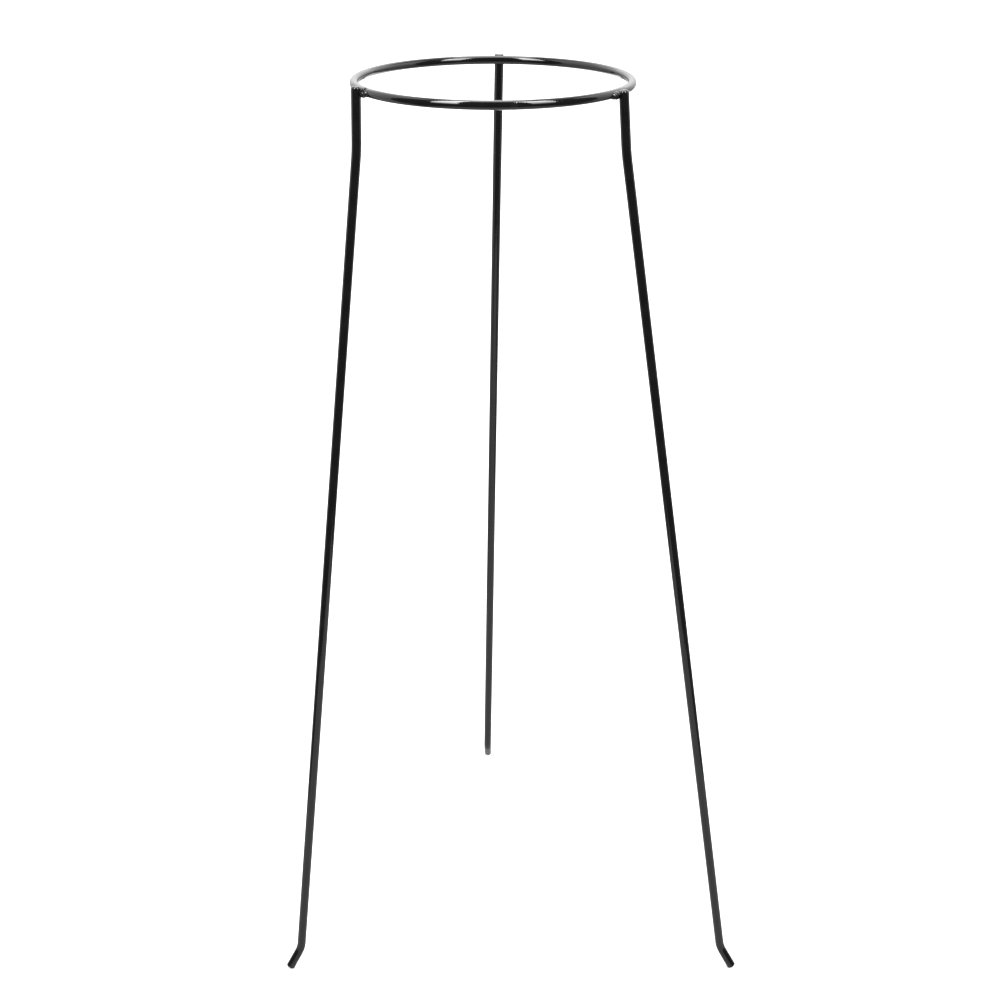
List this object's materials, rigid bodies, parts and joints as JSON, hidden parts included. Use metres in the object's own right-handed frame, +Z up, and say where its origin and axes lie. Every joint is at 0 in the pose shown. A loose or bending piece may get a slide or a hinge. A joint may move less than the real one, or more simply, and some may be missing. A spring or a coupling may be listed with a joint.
{
  "type": "plant stand",
  "caption": "Tall wire plant stand: a round-bar ring that holds one pot, welded to slim splayed round-bar legs with kicked-out feet.",
  "frame": {"origin": "on the floor, straight below the middle of the pot ring", "axes": "+Z up along the ring's axis, -Y towards the front of the stand between its two front legs, +X to the right seen from the front"},
  "size_m": [0.3745, 0.3299, 0.7123],
  "materials": {
    "bar_paint": "gloss black paint over smooth round steel bar",
    "weld_paint": "gloss black paint over lumpy weld beads"
  },
  "bodies": {
    "root": {"ring": "bar_paint", "ring_seam_weld": "weld_paint", "front_left_leg": "bar_paint", "front_right_leg": "bar_paint", "rear_leg": "bar_paint", "front_left_weld": "weld_paint", "front_right_weld": "weld_paint", "rear_weld": "weld_paint"}
  },
  "joints": []
}
